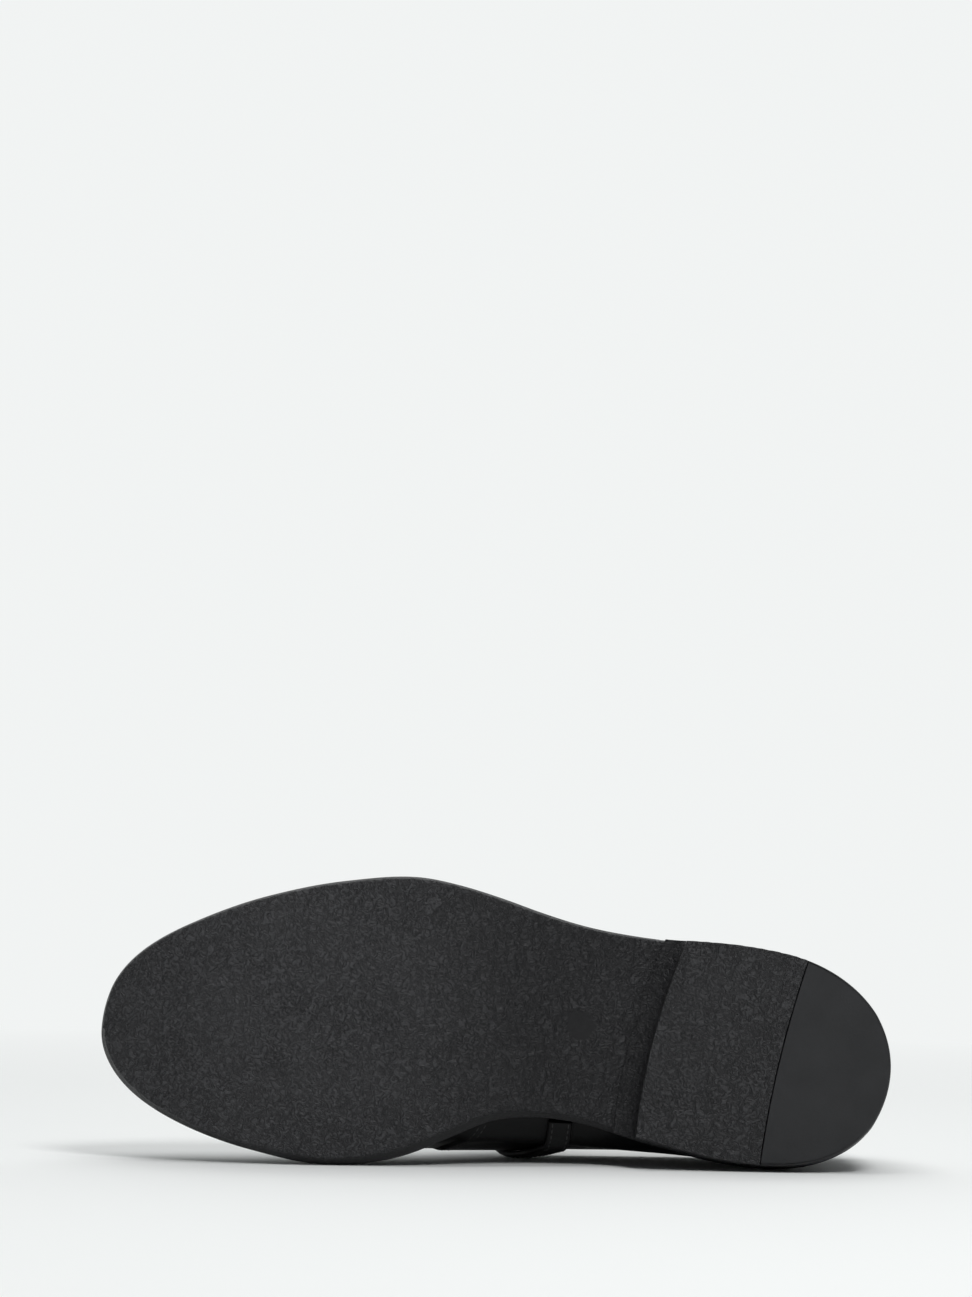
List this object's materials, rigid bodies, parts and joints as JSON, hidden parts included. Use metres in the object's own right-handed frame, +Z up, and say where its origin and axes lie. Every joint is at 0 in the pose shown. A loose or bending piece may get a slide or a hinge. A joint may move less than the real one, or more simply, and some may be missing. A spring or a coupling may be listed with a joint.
{
  "type": "monk strap loafer",
  "caption": "Black leather monk strap loafer, left shoe, lying on its inner side to show its crinkled dark rubber sole and smooth heel tip",
  "frame": {"origin": "centre of the footprint on the floor: middle of the box in X and Y, lowest point in Z", "axes": "the shoe lies on its inner side; +X runs from the toe towards the heel, the sole faces -Y, +Z is up and carries the outer side"},
  "size_m": [0.2978, 0.0992, 0.108],
  "materials": {
    "sole_rubber": "matte crinkled crepe",
    "tip_rubber": "smooth matte",
    "black_leather": "polished fine grain",
    "sock_leather": "plain sock lining",
    "buckle_metal": "polished, worn"
  },
  "bodies": {
    "root": {"outsole": "sole_rubber", "heel_base": "sole_rubber", "heel_lift": "sole_rubber", "heel_tip": "tip_rubber", "upper": "black_leather", "insole": "sock_leather", "strap": "black_leather", "buckle_tab": "black_leather", "buckle_frame": "buckle_metal", "buckle_prong": "buckle_metal", "keeper": "black_leather"}
  },
  "joints": []
}
